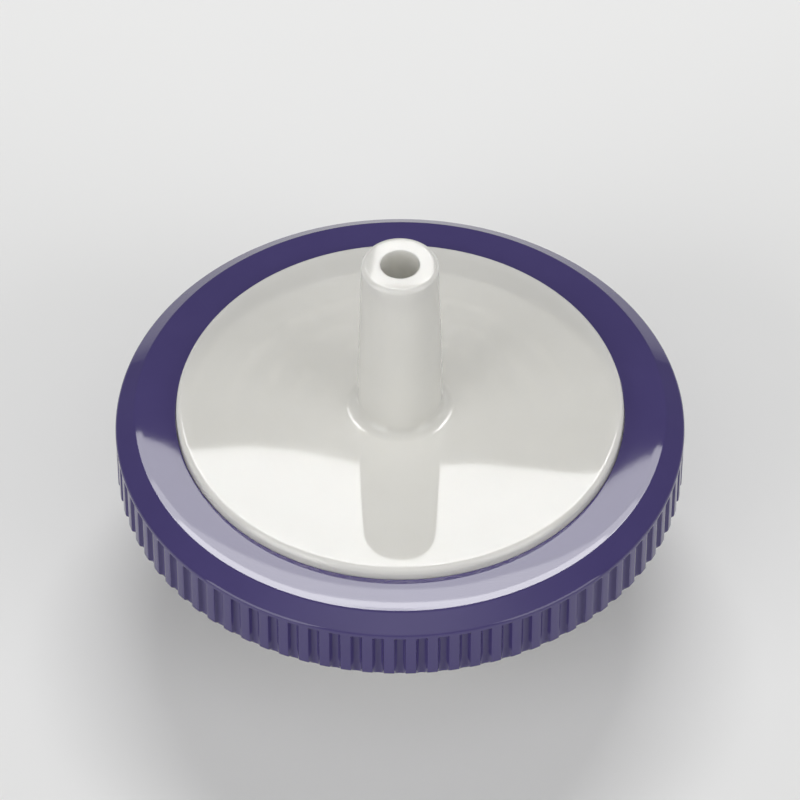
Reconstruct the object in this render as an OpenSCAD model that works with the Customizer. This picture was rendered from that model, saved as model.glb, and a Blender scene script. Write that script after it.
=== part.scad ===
// Disposable syringe filter of the 25 mm class.
// Two clear moulded housing halves clamp a round membrane at its rim, and a knurled
// ring is moulded round the pair to seal and grip them. Liquid enters at the female
// luer lock, spreads under the membrane, passes it and leaves by the male luer slip.
// +Z is the axis, from inlet to outlet. The origin is the centre of the inlet's end
// face, on which the filter stands. Lengths are in millimetres.

/* [Membrane] */
// Diameter of the membrane disc
membrane_d = 25; // [18:0.5:40]
// Thickness of the membrane
membrane_t = 0.2; // [0.1:0.05:0.6]
// Width of the membrane's rim that the two halves clamp
seat_w = 1.6; // [1:0.1:3]
// Clearance round the membrane in its pocket
membrane_gap = 0.1; // [0.05:0.05:0.3]

/* [Housing halves] */
// Thickness of the clear window wall on each side
window_wall = 2; // [1.3:0.1:3]
// Height of the flow chamber on each side of the membrane
chamber_h = 0.3; // [0.25:0.05:1.2]
// Width of the weld land outside the membrane's pocket
weld_w = 0.8; // [0.5:0.1:2]
// Radius on the outlet window's outer edge
outlet_edge_r = 0.3; // [0.1:0.05:0.5]
// Radius on the inlet window's outer edge
inlet_edge_r = 0.2; // [0.1:0.05:0.3]
// Width of the sunken band between the inlet window and the ring
band_w = 1.1; // [0.5:0.1:2]
// Depth of the sunken band below the inlet window
band_h = 0.45; // [0.3:0.05:0.7]

/* [Flow ribs] */
// Number of radial spreader ribs on the inlet side
spreader_count = 8; // [4:1:16]
// Height of the spreader ribs, short of the membrane
spreader_h = 0.2; // [0.1:0.05:0.25]
// Distance from the axis to where the spreader ribs begin
spreader_start = 3; // [2:0.5:5]
// Width of every flow rib
rib_w = 0.7; // [0.5:0.1:1]
// Spacing of the round support ribs on the outlet side
support_pitch = 1.6; // [1.3:0.1:2.5]
// Inner radius of the first support rib
support_start = 2.2; // [1.8:0.1:3]
// Number of radial drain channels through the support ribs
drain_count = 8; // [4:1:12]
// Width of the drain channels
drain_w = 1.2; // [0.8:0.1:1.5]

/* [Inlet, female luer lock] */
// Length of the inlet hub below the inlet window
inlet_len = 7.5; // [6.5:0.1:12]
// Bore of the luer socket at its mouth
socket_mouth_d = 4.3; // [4.27:0.01:4.35]
// Wall round the socket at its mouth
hub_wall = 0.95; // [0.8:0.05:1.2]
// Thickness left between the end of the socket and the chamber
socket_floor = 1.5; // [0.8:0.1:2]
// Bore of the passage from the socket to the chamber
passage_d = 2; // [1:0.1:3]
// Height of the two locking lugs along the axis
lug_h = 2; // [1.2:0.1:2.5]
// Width of each locking lug
lug_w = 3.5; // [2.5:0.1:4]
// Distance that each lug stands out from the hub
lug_reach = 0.8; // [0.5:0.05:1]
// Radius of the flare where the hub meets the inlet window
inlet_flare_r = 2.2; // [0.5:0.1:3]

/* [Outlet, male luer slip] */
// Length of the nozzle above the outlet window
outlet_len = 10.4; // [10:0.1:16]
// Outer diameter of the nozzle's tip
tip_d = 3.98; // [3.93:0.01:4.03]
// Length of the tapered part of the nozzle, from the tip
taper_len = 7.5; // [7.5:0.1:8.5]
// Bore of the nozzle
outlet_bore_d = 2; // [1:0.1:2.4]
// Radius of the flare where the nozzle meets the outlet window
outlet_flare_r = 0.6; // [0.3:0.1:1.5]
// Radius on the outer edge of the nozzle's tip
tip_edge_r = 0.25; // [0.1:0.05:0.4]

/* [Overmoulded ring] */
// Radial thickness of the ring outside the housing halves
ring_wall = 1.57; // [1:0.01:3]
// Reach of each lip over the face of the housing
lip_w = 1.6; // [0.8:0.1:2.2]
// Thickness of each lip
lip_t = 0.7; // [0.4:0.1:1.1]
// Distance that the inlet window stands out from the ring's face
inlet_proud = 0.2; // [0.05:0.05:0.4]
// Distance that the outlet window stands out from the ring's face
outlet_proud = 0.6; // [0.1:0.05:1]
// Clearance between the ring and the round faces of the housing
ring_gap = 0.03; // [0.01:0.01:0.1]
// Width of the sloping shoulder round the ring's outlet face
ring_shoulder_w = 1; // [0.3:0.1:1.3]
// Height of that shoulder
ring_shoulder_h = 0.8; // [0.3:0.1:1.2]
// Chamfer on the ring's outer edge at the inlet side, where the flutes run out
ring_chamfer = 0.3; // [0.1:0.05:0.6]
// Number of grip flutes round the ring
flute_count = 84; // [48:2:100]
// Radius of each grip flute
flute_r = 0.3; // [0.15:0.01:0.35]
// Plain margin left between the flutes and the shoulder
flute_margin = 0.2; // [0.1:0.05:1]

/* [Hidden] */

$fn = 144;
arc_fn = 48;          // facets on a small edge radius or flare
flute_fn = 12;        // sides of the cutter for one grip flute
over = 0.1;           // how far a cutter runs past the face that it opens
luer_taper = 0.06;    // change of a luer's diameter for each unit of its length
lug_slope = 0.5;      // rise of a lug's sloping back for each unit of its reach

// Heights along the axis, from the inlet's end face
inlet_face_z = inlet_len;
inlet_chamber_z = inlet_face_z + window_wall;
weld_z = inlet_chamber_z + chamber_h;
outlet_seat_z = weld_z + membrane_t;
outlet_chamber_z = outlet_seat_z + chamber_h;
outlet_face_z = outlet_chamber_z + window_wall;
tip_z = outlet_face_z + outlet_len;

// Radii
membrane_r = membrane_d / 2;
chamber_r = membrane_r - seat_w;
flange_r = membrane_r + membrane_gap + weld_w;
window_r = flange_r - lip_w;
disc_r = window_r - band_w;
socket_r = socket_mouth_d / 2;
hub_r = socket_r + hub_wall;
tip_r = tip_d / 2;
tip_side_r = tip_r + tip_edge_r * luer_taper / 2;
barrel_r = tip_r + taper_len * luer_taper / 2;
ring_r = flange_r + ring_gap + ring_wall;

// The ring's faces, and the flange faces that its lips grip
ring_z0 = inlet_face_z + inlet_proud;
ring_z1 = outlet_face_z - outlet_proud;
flange_z0 = ring_z0 + lip_t;
flange_z1 = ring_z1 - lip_t;
flute_top_z = ring_z1 - ring_shoulder_h - flute_margin;

// Luer socket
socket_len = inlet_chamber_z - socket_floor;
socket_end_r = socket_r - socket_len * luer_taper / 2;

// Fills an inside corner at the origin, its square sides along +X and +Y
module fillet(r) {
    difference() {
        square(r);
        translate([r, r]) circle(r, $fn = arc_fn);
    }
}

// Cuts an outside corner at the origin to a radius, with the plastic towards +X and +Y
module rounding(r) {
    difference() {
        translate([-over, -over]) square(r + over);
        translate([r, r]) circle(r, $fn = arc_fn);
    }
}

// Cuts an outside corner at the origin to a slope, with the plastic towards +X and +Y
module bevel(w, h) {
    polygon([[-over, -over], [w + over * w / h, -over], [-over, h + over * h / w]]);
}

// Half section of a disc between two heights
module slab(r, z0, z1) {
    translate([0, z0]) square([r, z1 - z0]);
}

// Half section of the lower half: hub, window, sunken band and clamped flange
module inlet_section() {
    difference() {
        union() {
            slab(hub_r, 0, weld_z);
            slab(disc_r, inlet_face_z, weld_z);
            slab(window_r - ring_gap, inlet_face_z + band_h, weld_z);
            slab(flange_r, flange_z0, weld_z);
            translate([hub_r, inlet_face_z]) mirror([0, 1]) fillet(inlet_flare_r);
        }
        translate([disc_r, inlet_face_z]) mirror([1, 0]) rounding(inlet_edge_r);
    }
}

// Two lugs that a luer lock collar screws over, flush with the mouth
module locking_lugs() {
    lug_r = hub_r + lug_reach;
    slope_h = lug_reach * lug_slope;
    intersection() {
        rotate_extrude() polygon([
            [0, 0], [lug_r, 0], [lug_r, lug_h - slope_h], [hub_r, lug_h], [0, lug_h]
        ]);
        translate([-lug_r, -lug_w / 2, 0]) cube([2 * lug_r, lug_w, lug_h]);
    }
}

// Straight ribs that spread the liquid under the membrane
module spreader_ribs() {
    for (i = [0 : spreader_count - 1])
        rotate(i * 360 / spreader_count)
            translate([spreader_start, -rib_w / 2, inlet_chamber_z - over])
                cube([chamber_r - spreader_start + over, rib_w, spreader_h + over]);
}

module inlet_housing() {
    color([0.90, 0.92, 0.90, 0.75])
    difference() {
        union() {
            difference() {
                rotate_extrude() inlet_section();
                translate([0, 0, inlet_chamber_z]) cylinder(r = chamber_r, h = chamber_h + over);
            }
            locking_lugs();
            spreader_ribs();
        }
        // Luer socket, run past the mouth along its own taper
        translate([0, 0, -over])
            cylinder(r1 = socket_r + over * luer_taper / 2, r2 = socket_end_r, h = socket_len + over);
        translate([0, 0, socket_len - over])
            cylinder(d = passage_d, h = socket_floor + 2 * over);
    }
}

module membrane() {
    color([0.98, 0.98, 0.96])
    translate([0, 0, weld_z]) cylinder(r = membrane_r, h = membrane_t);
}

// Half section of the upper half: flange, window and nozzle
module outlet_section() {
    difference() {
        union() {
            slab(flange_r, weld_z, flange_z1);
            slab(window_r - ring_gap, weld_z, outlet_face_z);
            slab(barrel_r, outlet_face_z, tip_z - taper_len);
            polygon([
                [0, tip_z - taper_len], [barrel_r, tip_z - taper_len],
                [tip_side_r, tip_z - tip_edge_r], [tip_side_r, tip_z], [0, tip_z]
            ]);
            translate([barrel_r, outlet_face_z]) fillet(outlet_flare_r);
        }
        translate([window_r - ring_gap, outlet_face_z])
            mirror([1, 0]) mirror([0, 1]) rounding(outlet_edge_r);
        translate([tip_side_r, tip_z]) mirror([1, 0]) mirror([0, 1]) rounding(tip_edge_r);
    }
}

// Round ribs that hold the membrane up, broken by the drain channels
module support_ribs() {
    difference() {
        for (r = [support_start : support_pitch : chamber_r - 2 * rib_w])
            translate([0, 0, outlet_seat_z])
                difference() {
                    cylinder(r = r + rib_w, h = chamber_h + over);
                    translate([0, 0, -over]) cylinder(r = r, h = chamber_h + 3 * over);
                }
        for (i = [0 : drain_count - 1])
            rotate(i * 360 / drain_count)
                translate([0, -drain_w / 2, outlet_seat_z - over])
                    cube([chamber_r, drain_w, chamber_h + 3 * over]);
    }
}

module outlet_housing() {
    color([0.90, 0.92, 0.90, 0.75])
    union() {
        difference() {
            rotate_extrude() outlet_section();
            translate([0, 0, weld_z - over])
                cylinder(r = membrane_r + membrane_gap, h = membrane_t + over);
            translate([0, 0, outlet_seat_z - over])
                cylinder(r = chamber_r, h = chamber_h + over);
            translate([0, 0, outlet_chamber_z - over])
                cylinder(d = outlet_bore_d, h = tip_z - outlet_chamber_z + 2 * over);
        }
        support_ribs();
    }
}

// Half section of the ring: wall and two lips over the housing's flange
module ring_section() {
    difference() {
        translate([window_r, ring_z0]) square([ring_r - window_r, ring_z1 - ring_z0]);
        translate([window_r - over, flange_z0])
            square([flange_r + ring_gap - window_r + over, flange_z1 - flange_z0]);
        translate([ring_r, ring_z0]) mirror([1, 0]) bevel(ring_chamfer, ring_chamfer);
        translate([ring_r, ring_z1])
            mirror([1, 0]) mirror([0, 1]) bevel(ring_shoulder_w, ring_shoulder_h);
    }
}

module overmould_ring() {
    color([0.25, 0.21, 0.45])
    difference() {
        rotate_extrude() ring_section();
        for (i = [0 : flute_count - 1])
            rotate(i * 360 / flute_count)
                translate([ring_r, 0, ring_z0 - over])
                    cylinder(r = flute_r, h = flute_top_z - ring_z0 + over, $fn = flute_fn);
    }
}

inlet_housing();
membrane();
outlet_housing();
overmould_ring();
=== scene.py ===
"""Looks of a disposable syringe filter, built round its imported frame.

Two clear housing halves clamp a white membrane, and a fluted violet ring is moulded
round the pair. Sections are drawn in millimetres and turned round the axis in metres.
"""

from math import cos, radians, sin, tan, tau

import bmesh
import bpy
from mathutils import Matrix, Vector


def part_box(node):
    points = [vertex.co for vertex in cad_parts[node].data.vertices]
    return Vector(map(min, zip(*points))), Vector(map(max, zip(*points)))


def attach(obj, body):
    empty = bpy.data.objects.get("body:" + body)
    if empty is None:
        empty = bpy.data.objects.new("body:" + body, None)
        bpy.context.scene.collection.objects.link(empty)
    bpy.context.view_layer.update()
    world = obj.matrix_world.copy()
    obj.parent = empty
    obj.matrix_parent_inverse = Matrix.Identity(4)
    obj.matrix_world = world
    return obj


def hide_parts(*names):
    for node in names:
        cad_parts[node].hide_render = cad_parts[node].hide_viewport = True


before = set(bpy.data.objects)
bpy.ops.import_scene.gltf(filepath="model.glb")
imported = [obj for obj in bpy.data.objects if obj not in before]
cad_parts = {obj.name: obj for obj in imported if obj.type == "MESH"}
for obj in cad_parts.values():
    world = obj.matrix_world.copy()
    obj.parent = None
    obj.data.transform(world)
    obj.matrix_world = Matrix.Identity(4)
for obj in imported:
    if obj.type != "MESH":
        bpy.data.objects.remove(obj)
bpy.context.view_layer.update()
mm = 0.001


# ---------------------------------------------------------------------------
# Inlet housing. The lower half of the case, injection moulded in natural
# polypropylene: a female luer lock hub that flares into a round window, and a
# thin flange outside the window that is welded to the upper half.

def rounded(corners):
    """Points of a closed section, from corners given as (radius, height, rounding)."""
    hold = 0.03                   # straight run kept at both ends of each rounding
    facet = radians(9)
    nearly_straight = radians(89)
    points = []
    for index, (x, z, rounding) in enumerate(corners):
        corner = Vector((x, z))
        before = Vector(corners[index - 1][:2]) - corner
        after = Vector(corners[(index + 1) % len(corners)][:2]) - corner
        half = before.angle(after) / 2
        before.normalize()
        after.normalize()
        if rounding == 0 or half > nearly_straight:
            points.append(corner)
            continue
        run = rounding / tan(half)
        centre = corner + (before + after).normalized() * rounding / sin(half)
        spoke = corner + before * run - centre
        turn = -spoke.angle_signed(corner + after * run - centre)
        steps = max(3, round(abs(turn) / facet))
        points.append(corner + before * (run + hold))
        for step in range(steps + 1):
            angle = turn * step / steps
            points.append(centre + Vector((
                spoke.x * cos(angle) - spoke.y * sin(angle),
                spoke.x * sin(angle) + spoke.y * cos(angle),
            )))
        points.append(corner + after * (run + hold))
    return points


def turned(name, section, steps, shape=None):
    """Turns a closed section round the axis; shape(radius, height, angle) moves points out."""
    weld_distance = 0.001 * mm
    mesh = bmesh.new()
    rings = []
    for step in range(steps):
        angle = tau * step / steps
        ring = []
        for radius, height in section:
            out = shape(radius, height, angle) if shape else radius
            ring.append(mesh.verts.new((
                out * cos(angle) * mm, out * sin(angle) * mm, height * mm,
            )))
        rings.append(ring)
    for step, ring in enumerate(rings):
        beside = rings[(step + 1) % steps]
        for index in range(len(ring)):
            following = (index + 1) % len(ring)
            mesh.faces.new((ring[index], beside[index], beside[following], ring[following]))
    bmesh.ops.remove_doubles(mesh, verts=mesh.verts, dist=weld_distance)
    bmesh.ops.recalc_face_normals(mesh, faces=mesh.faces)
    data = bpy.data.meshes.new(name)
    mesh.to_mesh(data)
    mesh.free()
    piece = bpy.data.objects.new(name, data)
    bpy.context.scene.collection.objects.link(piece)
    return piece


class Wire:
    """A socket in a node tree. Arithmetic on it adds Math nodes to the tree."""

    def __init__(self, tree, socket=None):
        self.tree = tree
        self.socket = socket

    def node(self, kind, settings=None, inputs=None, output=0):
        """Adds a node, sets it up, fills its sockets and gives the wire from its output."""
        made = self.tree.nodes.new(kind)
        for name, value in (settings or {}).items():
            setattr(made, name, value)
        for name, value in (inputs or {}).items():
            for source in value if isinstance(value, list) else [value]:
                if isinstance(source, Wire):
                    self.tree.links.new(source.socket, made.inputs[name])
                else:
                    made.inputs[name].default_value = source
        return Wire(self.tree, made.outputs[output] if made.outputs else None)

    def output(self, name):
        """Another output of the node that this wire leaves."""
        return Wire(self.tree, self.socket.node.outputs[name])

    def math(self, operation, *values):
        """A Math node on the given values or wires."""
        inputs = dict(enumerate(values))
        return self.node("ShaderNodeMath", {"operation": operation}, inputs)

    def __add__(self, other):
        return self.math("ADD", self, other)

    def __radd__(self, other):
        return self.math("ADD", other, self)

    def __sub__(self, other):
        return self.math("SUBTRACT", self, other)

    def __rsub__(self, other):
        return self.math("SUBTRACT", other, self)

    def __mul__(self, other):
        return self.math("MULTIPLY", self, other)

    def __rmul__(self, other):
        return self.math("MULTIPLY", other, self)

    def __truediv__(self, other):
        return self.math("DIVIDE", self, other)

    def __rtruediv__(self, other):
        return self.math("DIVIDE", other, self)


def node_tree(name, inputs):
    """A Geometry Nodes tree with a piece's geometry and the named inputs on its face."""
    tree = bpy.data.node_groups.new(name, "GeometryNodeTree")
    tree.interface.new_socket("Piece", in_out="INPUT", socket_type="NodeSocketGeometry")
    for label, kind in inputs.items():
        tree.interface.new_socket(label, in_out="INPUT", socket_type="NodeSocket" + kind)
    tree.interface.new_socket("Piece", in_out="OUTPUT", socket_type="NodeSocketGeometry")
    return Wire(tree).node("NodeGroupInput")


def spoke_tree(name, operation):
    """A tree that joins radial bars to a piece, or cuts them out of it."""
    given = node_tree(name, {
        "Count": "Int", "Inner radius": "Float", "Outer radius": "Float", "Width": "Float",
        "Bottom": "Float", "Top": "Float", "Plastic": "Material",
    })
    inner, outer = given.output("Inner radius"), given.output("Outer radius")
    bottom, top = given.output("Bottom"), given.output("Top")
    size = given.node("ShaderNodeCombineXYZ", inputs={
        "X": outer - inner, "Y": given.output("Width"), "Z": top - bottom,
    })
    middle = given.node("ShaderNodeCombineXYZ", inputs={
        "X": (inner + outer) / 2, "Z": (bottom + top) / 2,
    })
    bar = given.node("GeometryNodeMeshCube", inputs={"Size": size})
    bar = given.node("GeometryNodeTransform", inputs={"Geometry": bar, "Translation": middle})
    index = given.node("GeometryNodeInputIndex")
    heading = given.node("ShaderNodeCombineXYZ", inputs={
        "Z": index * tau / given.output("Count"),
    })
    centres = given.node("GeometryNodePoints", inputs={"Count": given.output("Count")})
    bars = given.node("GeometryNodeInstanceOnPoints", inputs={
        "Points": centres, "Instance": bar, "Rotation": heading,
    })
    piece = given.output("Piece")
    pair = {1: [piece, bars]} if operation == "UNION" else {0: piece, 1: bars}
    joined = given.node(
        "GeometryNodeMeshBoolean", {"operation": operation, "solver": "EXACT"}, pair
    )
    whole = given.node("GeometryNodeRealizeInstances", inputs={"Geometry": joined})
    coated = given.node("GeometryNodeSetMaterial", inputs={
        "Geometry": whole, "Material": given.output("Plastic"),
    })
    given.node("NodeGroupOutput", inputs={"Piece": coated})
    return given.tree


def run_tree(piece, tree, inputs):
    """Runs a Geometry Nodes tree on a piece and keeps the result as its plain mesh."""
    modifier = piece.modifiers.new(tree.name, "NODES")
    modifier.node_group = tree
    for socket in tree.interface.items_tree:
        if socket.in_out == "INPUT" and socket.name in inputs:
            modifier[socket.identifier] = inputs[socket.name]
    ready = piece.evaluated_get(bpy.context.evaluated_depsgraph_get())
    data = bpy.data.meshes.new_from_object(ready)
    piece.modifiers.remove(modifier)
    piece.data = data


def smoothed(piece, sharpest):
    """Smooth shading that breaks at edges sharper than the given angle in degrees."""
    piece.data.shade_smooth()
    piece.data.set_sharp_from_angle(angle=radians(sharpest))


def natural_polypropylene():
    """Glossy, milky plastic that light soaks through, with faint clouds from the mould."""
    material = bpy.data.materials.new("natural polypropylene")
    material.use_nodes = True
    material.node_tree.nodes.clear()
    place = Wire(material.node_tree).node("ShaderNodeTexCoord").output("Object")
    clouds = place.node("ShaderNodeTexNoise", inputs={
        "Vector": place, "Scale": 320.0, "Detail": 3.0, "Roughness": 0.5,
    })
    polish = place.node("ShaderNodeTexNoise", inputs={
        "Vector": place, "Scale": 2600.0, "Detail": 2.0, "Roughness": 0.6,
    })
    # A Mix node on colours has them in sockets 6 and 7, and its result in output 2.
    tint = place.node("ShaderNodeMix", {"data_type": "RGBA"}, {
        0: clouds, 6: (0.73, 0.723, 0.69, 1), 7: (0.765, 0.758, 0.728, 1),
    }, 2)
    warp = place.node("ShaderNodeTexNoise", inputs={
        "Vector": place, "Scale": 130.0, "Detail": 1.0, "Roughness": 0.4,
    })
    relief = place.node("ShaderNodeBump", inputs={
        "Strength": 0.8, "Distance": 0.04 * mm, "Height": warp + polish * 0.004,
    })
    body = place.node("ShaderNodeBsdfPrincipled", {"subsurface_method": "RANDOM_WALK"}, {
        "Base Color": tint,
        "Roughness": 0.015 + 0.02 * polish,
        "IOR": 1.49,
        "Transmission Weight": 0.18,
        "Subsurface Weight": 1.0,
        "Subsurface Radius": (1.0, 1.0, 1.0),
        "Subsurface Scale": 0.9 * mm,
        "Normal": relief,
    })
    place.node("ShaderNodeOutputMaterial", inputs={"Surface": body})
    return material


clear_plastic = natural_polypropylene()

inlet_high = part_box("inlet_housing")[1]
flange_r = inlet_high.x / mm
weld_z = inlet_high.z / mm
ring_low, ring_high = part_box("overmould_ring")
ring_r = ring_high.x / mm
ring_bottom = ring_low.z / mm
ring_top = ring_high.z / mm

lip_reach = 1.6          # of the ring over the flange, on both sides
lip_thickness = 0.7
inlet_proud = 0.2        # of the inlet window beyond the ring's face
fit_gap = 0.03           # between the ring and the round faces of the housing
window_r = flange_r - lip_reach
window_side_r = window_r - fit_gap
chamber_r = 10.9
chamber_height = 0.3

inlet_window_z = ring_bottom - inlet_proud
inlet_chamber_z = weld_z - chamber_height
band_width = 1.1
band_depth = 0.45
disc_r = window_r - band_width
hub_r = 3.1
hub_flare = 2.2
socket_mouth_r = 2.15
socket_end_r = 1.91
socket_depth = 8.0
passage_r = 1.0

lug_reach = 0.8
lug_width = 3.5
lug_height = 2.0
lug_slope = 0.5          # rise of a lug's back for each unit of its reach
lug_margin = 0.2         # width of the hub's rim that moves out with a lug


def with_lugs(radius, height, angle):
    """Pushes the mouth of the hub out into two locking lugs with sloping backs."""
    if radius < hub_r - lug_margin or height > lug_height:
        return radius
    least_sine = 0.01
    side = lug_width / 2 / max(abs(sin(angle)), least_sine) - hub_r
    back = (lug_height - height) / lug_slope
    push = min(side, back, lug_reach)
    return radius + max(push, 0)


inlet_section = rounded([
    (passage_r, inlet_chamber_z, 0.08),
    (chamber_r, inlet_chamber_z, 0.1),
    (chamber_r, weld_z, 0.05),
    (flange_r, weld_z, 0),
    (flange_r, ring_bottom + lip_thickness, 0),
    (window_side_r, ring_bottom + lip_thickness, 0),
    (window_side_r, inlet_window_z + band_depth, 0.05),
    (disc_r, inlet_window_z + band_depth, 0.08),
    (disc_r, inlet_window_z, 0.2),
    (hub_r, inlet_window_z, hub_flare),
    (hub_r, lug_height, 0),
    (hub_r, lug_height - lug_slope * lug_reach / 2, 0),
    (hub_r, lug_height - lug_slope * lug_reach, 0),
    (hub_r, 0, 0.1),
    (socket_mouth_r, 0, 0.08),
    (socket_end_r, socket_depth, 0.05),
    (passage_r, socket_depth, 0.05),
])
inlet_steps = 360
rib_width = 0.7          # of every flow rib, on both sides of the membrane
rib_root = 0.1           # how far a rib runs into the wall that it stands on
spreader_count = 8
spreader_start = 3.0
spreader_height = 0.2
sharpest_bend = 35

inlet_half = turned("inlet_half", inlet_section, inlet_steps, with_lugs)
run_tree(inlet_half, spoke_tree("spreader ribs", "UNION"), {
    "Count": spreader_count, "Width": rib_width * mm, "Plastic": clear_plastic,
    "Inner radius": spreader_start * mm, "Outer radius": (chamber_r + rib_root) * mm,
    "Bottom": (inlet_chamber_z - rib_root) * mm,
    "Top": (inlet_chamber_z + spreader_height) * mm,
})
smoothed(inlet_half, sharpest_bend)
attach(inlet_half, "root")
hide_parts("inlet_housing")


# ---------------------------------------------------------------------------
# Membrane. A round disc of matt white porous film, punched from sheet and
# clamped at its rim between the two halves.

def porous_film():
    """Matt white film with the fine grain of its pores."""
    material = bpy.data.materials.new("porous film")
    material.use_nodes = True
    material.node_tree.nodes.clear()
    place = Wire(material.node_tree).node("ShaderNodeTexCoord").output("Object")
    grain = place.node("ShaderNodeTexNoise", inputs={
        "Vector": place, "Scale": 9000.0, "Detail": 4.0, "Roughness": 0.7,
    })
    drift = place.node("ShaderNodeTexNoise", inputs={
        "Vector": place, "Scale": 180.0, "Detail": 2.0, "Roughness": 0.5,
    })
    tint = place.node("ShaderNodeMix", {"data_type": "RGBA"}, {
        0: grain * 0.6 + drift * 0.4, 6: (0.88, 0.865, 0.82, 1), 7: (0.95, 0.935, 0.90, 1),
    }, 2)
    relief = place.node("ShaderNodeBump", inputs={
        "Strength": 0.4, "Distance": 0.02 * mm, "Height": grain,
    })
    body = place.node("ShaderNodeBsdfPrincipled", inputs={
        "Base Color": tint,
        "Roughness": 0.75 + 0.15 * grain,
        "Normal": relief,
    })
    place.node("ShaderNodeOutputMaterial", inputs={"Surface": body})
    return material


membrane_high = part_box("membrane")[1]
membrane_r = membrane_high.x / mm
membrane_top = membrane_high.z / mm
membrane_edge = 0.04
membrane_steps = 180
membrane_disc = turned("membrane_disc", rounded([
    (0, weld_z, 0),
    (membrane_r, weld_z, membrane_edge),
    (membrane_r, membrane_top, membrane_edge),
    (0, membrane_top, 0),
]), membrane_steps)
membrane_disc.data.materials.append(porous_film())
smoothed(membrane_disc, sharpest_bend)
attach(membrane_disc, "root")
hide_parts("membrane")


# ---------------------------------------------------------------------------
# Outlet housing. The upper half of the case, moulded in the same plastic: a
# clear window and flange, and a male luer slip whose last 7.5 mm are tapered.
# Round ribs inside hold the membrane up, broken by eight drain channels.

tip_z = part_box("outlet_housing")[1].z / mm
outlet_proud = 0.6       # of the outlet window above the ring's face
outlet_window_z = ring_top + outlet_proud
outlet_chamber_z = membrane_top + chamber_height
pocket_gap = 0.1
pocket_r = membrane_r + pocket_gap
bore_r = 1.0
tip_r = 1.99
tip_edge = 0.25
taper_length = 7.5
taper = 0.03             # change of the radius for each unit of length
tip_side_r = tip_r + tip_edge * taper
barrel_r = tip_r + taper_length * taper
barrel_flare = 0.6
window_edge = 0.3

rib_pitch = 1.6
rib_first_r = 2.2
rib_count = 5


def support_ribs():
    """Corners of the round ribs under the chamber's roof, from the outermost inwards."""
    corners = []
    for index in reversed(range(rib_count)):
        inner = rib_first_r + index * rib_pitch
        corners += [
            (inner + rib_width, outlet_chamber_z, 0),
            (inner + rib_width, membrane_top, 0),
            (inner, membrane_top, 0),
            (inner, outlet_chamber_z, 0),
        ]
    return corners


outlet_section = rounded([
    (bore_r, tip_z, 0.06),
    (tip_side_r, tip_z, tip_edge),
    (barrel_r, tip_z - taper_length, 0),
    (barrel_r, outlet_window_z, barrel_flare),
    (window_side_r, outlet_window_z, window_edge),
    (window_side_r, ring_top - lip_thickness, 0),
    (flange_r, ring_top - lip_thickness, 0),
    (flange_r, weld_z, 0),
    (pocket_r, weld_z, 0),
    (pocket_r, membrane_top, 0),
    (chamber_r, membrane_top, 0.05),
    (chamber_r, outlet_chamber_z, 0.1),
    *support_ribs(),
    (bore_r, outlet_chamber_z, 0.08),
])
outlet_steps = 240
drain_count = 8
drain_width = 1.2
drain_inner_r = 2.0
drain_outer_r = 9.6
cut_margin = 0.05        # how far the cut runs past the ribs' ends
roof_margin = 0.01       # left uncut under the chamber's roof

outlet_half = turned("outlet_half", outlet_section, outlet_steps)
run_tree(outlet_half, spoke_tree("drain channels", "DIFFERENCE"), {
    "Count": drain_count, "Width": drain_width * mm, "Plastic": clear_plastic,
    "Inner radius": drain_inner_r * mm, "Outer radius": drain_outer_r * mm,
    "Bottom": (membrane_top - cut_margin) * mm,
    "Top": (outlet_chamber_z - roof_margin) * mm,
})
smoothed(outlet_half, sharpest_bend)
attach(outlet_half, "root")
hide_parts("outlet_housing")


# ---------------------------------------------------------------------------
# Overmoulded ring. Violet polypropylene moulded round the rims of both halves,
# with lips that reach over the flange. Its outlet face ends in a sloping shoulder,
# and flutes for the fingers run up its side to just below that.

def flute_tree():
    """A tree that sinks round-bottomed flutes into the ring's side."""
    given = node_tree("grip flutes", {
        "Count": "Int", "Ring radius": "Float", "Flute radius": "Float", "Top": "Float",
        "Runout": "Float", "Plastic": "Material",
    })
    ring_radius, flute_radius = given.output("Ring radius"), given.output("Flute radius")
    where = given.node("GeometryNodeInputPosition")
    x = given.node("ShaderNodeSeparateXYZ", inputs={0: where})
    y, z = x.output("Y"), x.output("Z")
    radius = x.math("SQRT", x * x + y * y)
    turns = x.math("ARCTAN2", y, x) / tau
    off_centre = x.math("FRACT", turns * given.output("Count") + 0.5) - 0.5
    across = off_centre * tau * ring_radius / given.output("Count")
    sink = x.math("SQRT", x.math("MAXIMUM", flute_radius * flute_radius - across * across, 0.0))
    fade = x.math("MAXIMUM", (given.output("Top") - z) / given.output("Runout"), 0.0)
    floor = ring_radius - sink * x.math("MINIMUM", fade, 1.0)
    softness = 0.03 * mm
    cut = x.math("SMOOTH_MIN", radius, floor, softness)
    scale = cut / radius
    moved = given.node("ShaderNodeCombineXYZ", inputs={"X": x * scale, "Y": y * scale, "Z": z})
    fluted = given.node("GeometryNodeSetPosition", inputs={
        "Geometry": given.output("Piece"), "Position": moved,
    })
    whole = given.node("GeometryNodeRealizeInstances", inputs={"Geometry": fluted})
    coated = given.node("GeometryNodeSetMaterial", inputs={
        "Geometry": whole, "Material": given.output("Plastic"),
    })
    given.node("NodeGroupOutput", inputs={"Piece": coated})
    return given.tree


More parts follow.
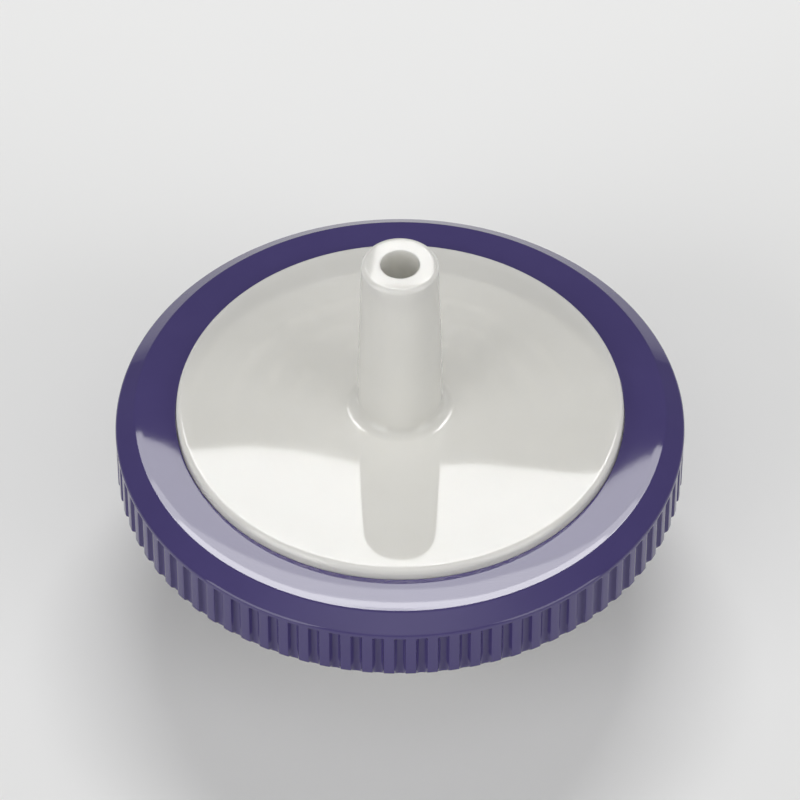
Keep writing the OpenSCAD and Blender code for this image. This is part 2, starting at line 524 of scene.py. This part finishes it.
def violet_polypropylene():
    """Opaque violet plastic with a soft gloss and the faint waviness of a thick moulding."""
    material = bpy.data.materials.new("violet polypropylene")
    material.use_nodes = True
    material.node_tree.nodes.clear()
    place = Wire(material.node_tree).node("ShaderNodeTexCoord").output("Object")
    clouds = place.node("ShaderNodeTexNoise", inputs={
        "Vector": place, "Scale": 260.0, "Detail": 3.0, "Roughness": 0.55,
    })
    skin = place.node("ShaderNodeTexNoise", inputs={
        "Vector": place, "Scale": 3200.0, "Detail": 3.0, "Roughness": 0.6,
    })
    tint = place.node("ShaderNodeMix", {"data_type": "RGBA"}, {
        0: clouds, 6: (0.052, 0.040, 0.138, 1), 7: (0.066, 0.052, 0.166, 1),
    }, 2)
    warp = place.node("ShaderNodeTexNoise", inputs={
        "Vector": place, "Scale": 110.0, "Detail": 1.0, "Roughness": 0.4,
    })
    relief = place.node("ShaderNodeBump", inputs={
        "Strength": 0.8, "Distance": 0.04 * mm, "Height": warp + skin * 0.004,
    })
    body = place.node("ShaderNodeBsdfPrincipled", inputs={
        "Base Color": tint,
        "Roughness": 0.02 + 0.03 * skin,
        "IOR": 1.49,
        "Normal": relief,
    })
    place.node("ShaderNodeOutputMaterial", inputs={"Surface": body})
    return material


flute_count = 84
flute_r = 0.3
flute_margin = 0.2       # plain margin between the flutes and the shoulder
flute_runout = 0.1       # height over which a flute ends
runout_rows = (-0.3, -0.12, -0.08, -0.04, 0, 0.02)
steps_per_flute = 15
sharpest_flute_bend = 50
shoulder_width = 1.0
shoulder_height = 0.8
flute_top = ring_top - shoulder_height - flute_margin
face_r = ring_r - shoulder_width
crown_width = 1.2        # the face falls a little towards its outer edge,
crown_fall = 0.028       # and a little more steeply over its last strip
strip_width = 0.38
strip_fall = 0.058
ring_chamfer = 0.3

violet_plastic = violet_polypropylene()
ring_section = rounded([
    (ring_r, ring_top - shoulder_height, 0.25),
    (face_r, ring_top - strip_fall, 0.25),
    (face_r - strip_width, ring_top - crown_fall, 4.0),
    (face_r - crown_width, ring_top, 5.0),
    (window_r, ring_top, 0.06),
    (window_r, ring_top - lip_thickness, 0),
    (flange_r + fit_gap, ring_top - lip_thickness, 0),
    (flange_r + fit_gap, ring_bottom + lip_thickness, 0),
    (window_r, ring_bottom + lip_thickness, 0),
    (window_r, ring_bottom, 0.06),
    (ring_r - ring_chamfer, ring_bottom, 0.1),
    (ring_r, ring_bottom + ring_chamfer, 0.1),
    *[(ring_r, flute_top + rise, 0) for rise in runout_rows],
])
grip_ring = turned("grip_ring", ring_section, flute_count * steps_per_flute)
run_tree(grip_ring, flute_tree(), {
    "Count": flute_count, "Ring radius": ring_r * mm, "Flute radius": flute_r * mm,
    "Top": flute_top * mm, "Runout": flute_runout * mm, "Plastic": violet_plastic,
})
smoothed(grip_ring, sharpest_flute_bend)
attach(grip_ring, "root")
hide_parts("overmould_ring")


# ---------------------------------------------------------------------------
# Floor. A plain pale sheet that the filter stands on, not part of the object.

floor_mesh = bpy.data.meshes.new("floor")
half_side = 1.5
floor_mesh.from_pydata(
    [(-half_side, -half_side, 0), (half_side, -half_side, 0),
     (half_side, half_side, 0), (-half_side, half_side, 0)],
    [], [(0, 1, 2, 3)],
)
floor = bpy.data.objects.new("floor", floor_mesh)
bpy.context.scene.collection.objects.link(floor)
paper = bpy.data.materials.new("pale paper")
paper.use_nodes = True
paper_finish = paper.node_tree.nodes["Principled BSDF"]
paper_finish.inputs["Base Color"].default_value = (0.84, 0.84, 0.835, 1)
paper_finish.inputs["Roughness"].default_value = 0.9
paper_finish.inputs["Specular IOR Level"].default_value = 0.2
floor_mesh.materials.append(paper)


# ---------------------------------------------------------------------------
# Light. Soft panels and a pale surround that is brighter in front. The panels
# behind show as a sheen in the near half of the flat, glossy faces, brighter at
# the ring's edge, and a very small one catches the rim of the nozzle's tip.

def soft_panel(name, azimuth, elevation, distance, size, power):
    """A rectangular lamp facing the filter; azimuth 0 is behind it, and 90 at its right."""
    lamp = bpy.data.lights.new(name, "AREA")
    lamp.shape = "RECTANGLE"
    lamp.size, lamp.size_y = size
    lamp.energy = power
    holder = bpy.data.objects.new(name, lamp)
    away = Vector((
        sin(radians(azimuth)) * cos(radians(elevation)),
        cos(radians(azimuth)) * cos(radians(elevation)),
        sin(radians(elevation)),
    ))
    holder.location = Vector((0, 0, ring_top * mm)) + away * distance
    holder.rotation_euler = away.to_track_quat("Z", "Y").to_euler()
    bpy.context.scene.collection.objects.link(holder)
    return holder


back_azimuth = 3.5
back_distance = 0.3
back_panels = [
    soft_panel("low_back_panel", back_azimuth, 50.2, back_distance, (0.2, 0.0188), 0.079),
    soft_panel("middle_back_panel", back_azimuth, 53.3, back_distance, (0.19, 0.0136), 0.075),
    soft_panel("high_back_panel", back_azimuth, 57.55, back_distance, (0.18, 0.0309), 0.25),
]
# The milky outlet half lets the light from behind through, so it throws no shadow there.
shadow_casters = bpy.data.collections.new("shadow casters")
for caster in (inlet_half, grip_ring):
    shadow_casters.objects.link(caster)
for panel in back_panels:
    panel.light_linking.blocker_collection = shadow_casters
soft_panel("tip_panel", 0, 47.05, back_distance, (0.0066, 0.005), 0.0008)
soft_panel("left_panel", -130, 20, 1.4, (1.0, 1.0), 8.6)
soft_panel("right_panel", 125, 22, 1.6, (1.0, 1.0), 8.0)

glow_elevation = radians(56)
glow_narrowness = 6.0
dim_light = 0.14         # from everywhere
backdrop_light = 0.74    # added where the camera sees the surround itself

surround = bpy.data.worlds.new("surround")
bpy.context.scene.world = surround
surround.use_nodes = True
surround.node_tree.nodes.clear()
path = Wire(surround.node_tree).node("ShaderNodeLightPath")
seen = path.output("Is Camera Ray")
towards = path.node("ShaderNodeTexCoord").output("Generated")
near_glow = path.node("ShaderNodeVectorMath", {"operation": "DOT_PRODUCT"}, {
    0: towards, 1: (0, -cos(glow_elevation), sin(glow_elevation)),
}, "Value")
glow = path.math("POWER", path.math("MAXIMUM", near_glow, 0.0), glow_narrowness)
sky = path.node("ShaderNodeBackground", inputs={
    "Color": (1.0, 1.0, 1.0, 1), "Strength": dim_light + glow + backdrop_light * seen,
})
path.node("ShaderNodeOutputWorld", inputs={"Surface": sky})


# ---------------------------------------------------------------------------
# Camera. Looks down on the filter from in front, from far enough away that the
# faces hardly taper.

look_down = radians(47)
camera_distance = 0.3
aim_height = 12.5 * mm
frame_width = 42 * mm
sensor_width = 36 * mm

lens = bpy.data.cameras.new("camera")
lens.sensor_width = sensor_width / mm
lens.lens = sensor_width * camera_distance / frame_width / mm
camera = bpy.data.objects.new("camera", lens)
bpy.context.scene.collection.objects.link(camera)
away = Vector((0, -cos(look_down), sin(look_down)))
camera.location = Vector((0, 0, aim_height)) + away * camera_distance
camera.rotation_euler = away.to_track_quat("Z", "Y").to_euler()
bpy.context.scene.camera = camera
bpy.context.scene.view_settings.view_transform = "Standard"
